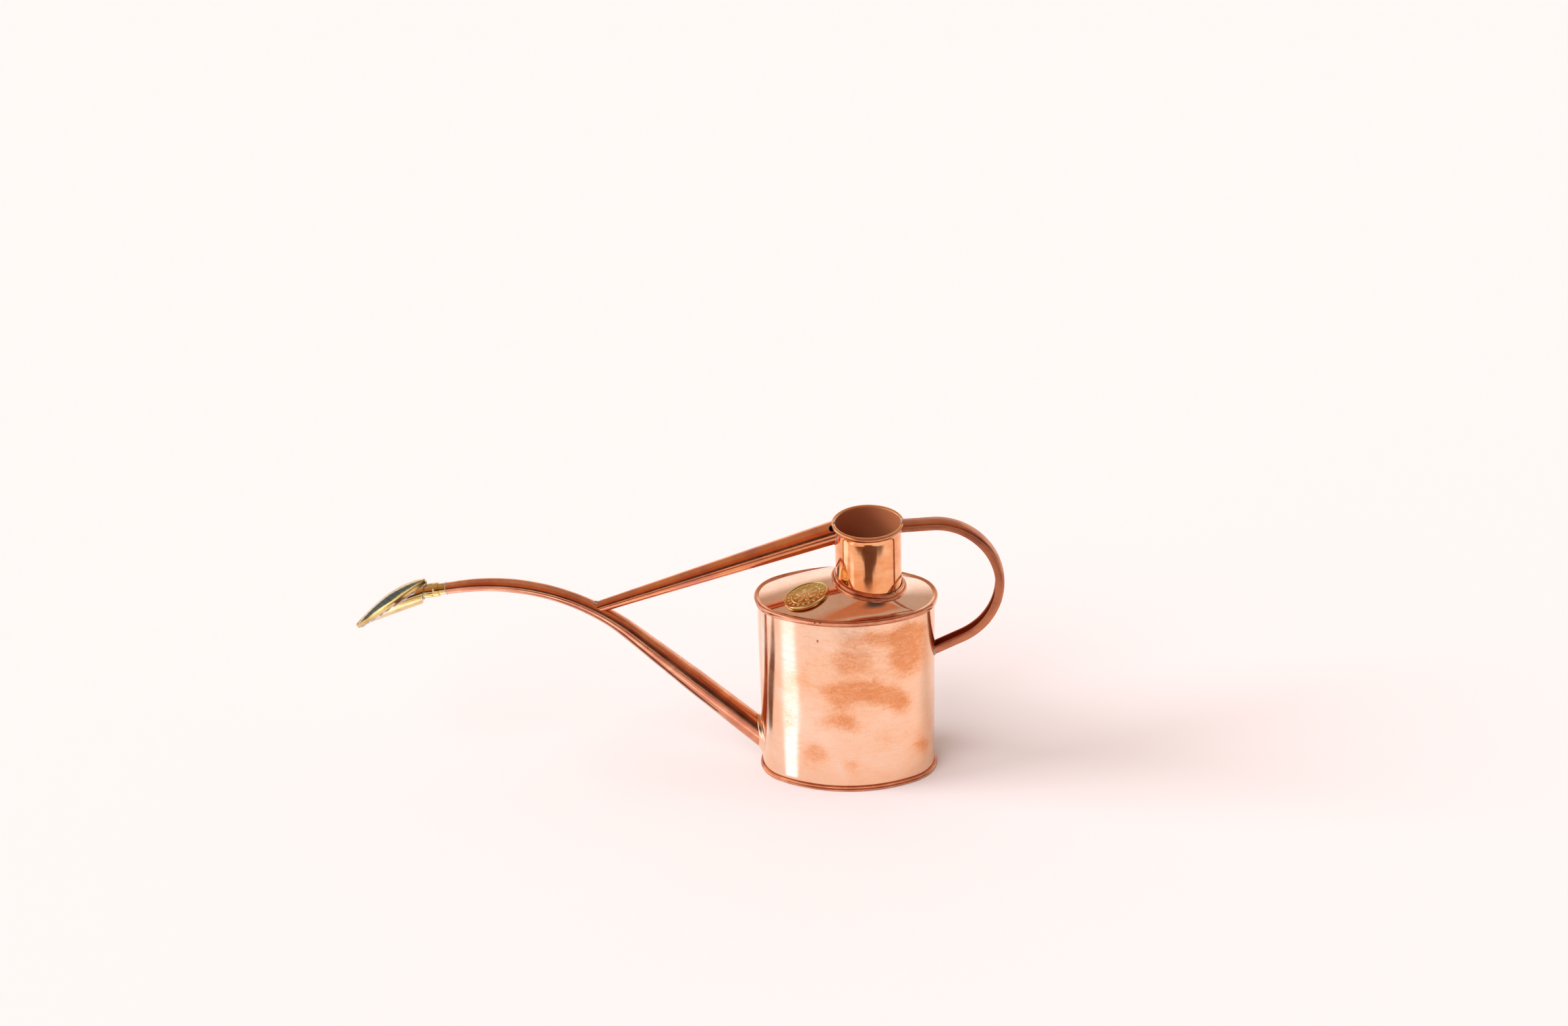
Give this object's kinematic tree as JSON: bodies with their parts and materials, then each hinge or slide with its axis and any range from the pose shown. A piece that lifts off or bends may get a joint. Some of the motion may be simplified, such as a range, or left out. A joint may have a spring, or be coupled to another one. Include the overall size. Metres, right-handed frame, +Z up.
{
  "type": "watering can",
  "caption": "Small indoor copper watering can: oval body, round filler neck, strip handle, long curved spout with a strut, and a push-fit brass rose that turns and pulls off.",
  "frame": {"origin": "centre of the oval body on the plane that the foot rests on", "axes": "+Z up, the spout points towards -X and the handle towards +X, +Y towards the can's far side"},
  "size_m": [0.4427, 0.0766, 0.1929],
  "materials": {
    "copper": "polished copper with fine horizontal brushing and warm tarnish blotches",
    "dark_copper": "polished copper darkened by heat and handling",
    "brass": "polished yellow brass",
    "solder": "dull grey tin solder",
    "washer_rubber": "matt"
  },
  "bodies": {
    "can": {"body_wall": "copper", "base_plate": "dark_copper", "shoulder_plate": "copper", "neck_collar": "copper", "neck_tube": "copper", "spout_tube": "dark_copper", "spout_root_collar": "copper", "tip_solder_ring": "solder", "spout_ferrule": "brass", "strut_tube": "dark_copper", "strut_neck_solder": "solder", "strut_foot_solder": "solder", "handle_channel": "dark_copper", "handle_top_solder": "solder", "handle_foot_solder": "solder", "badge": "brass"},
    "washer": {"rose_washer": "washer_rubber"},
    "rose": {"rose_socket": "brass", "rose_socket_solder": "solder", "rose_back_plate": "brass", "rose_shell": "brass", "rose_rim_solder": "solder", "rose_rim": "brass", "rose_face": "brass"}
  },
  "joints": [
    {"name": "rose_pull", "type": "slide", "parent": "can", "child": "washer", "axis": [-0.9903, 0, -0.1392], "range_m": [0, 0.03]},
    {"name": "rose_turn", "type": "hinge", "parent": "washer", "child": "rose", "pos_m": [-0.27059, 0, 0.14126], "axis": [-0.9903, 0, -0.1392], "continuous": true}
  ]
}
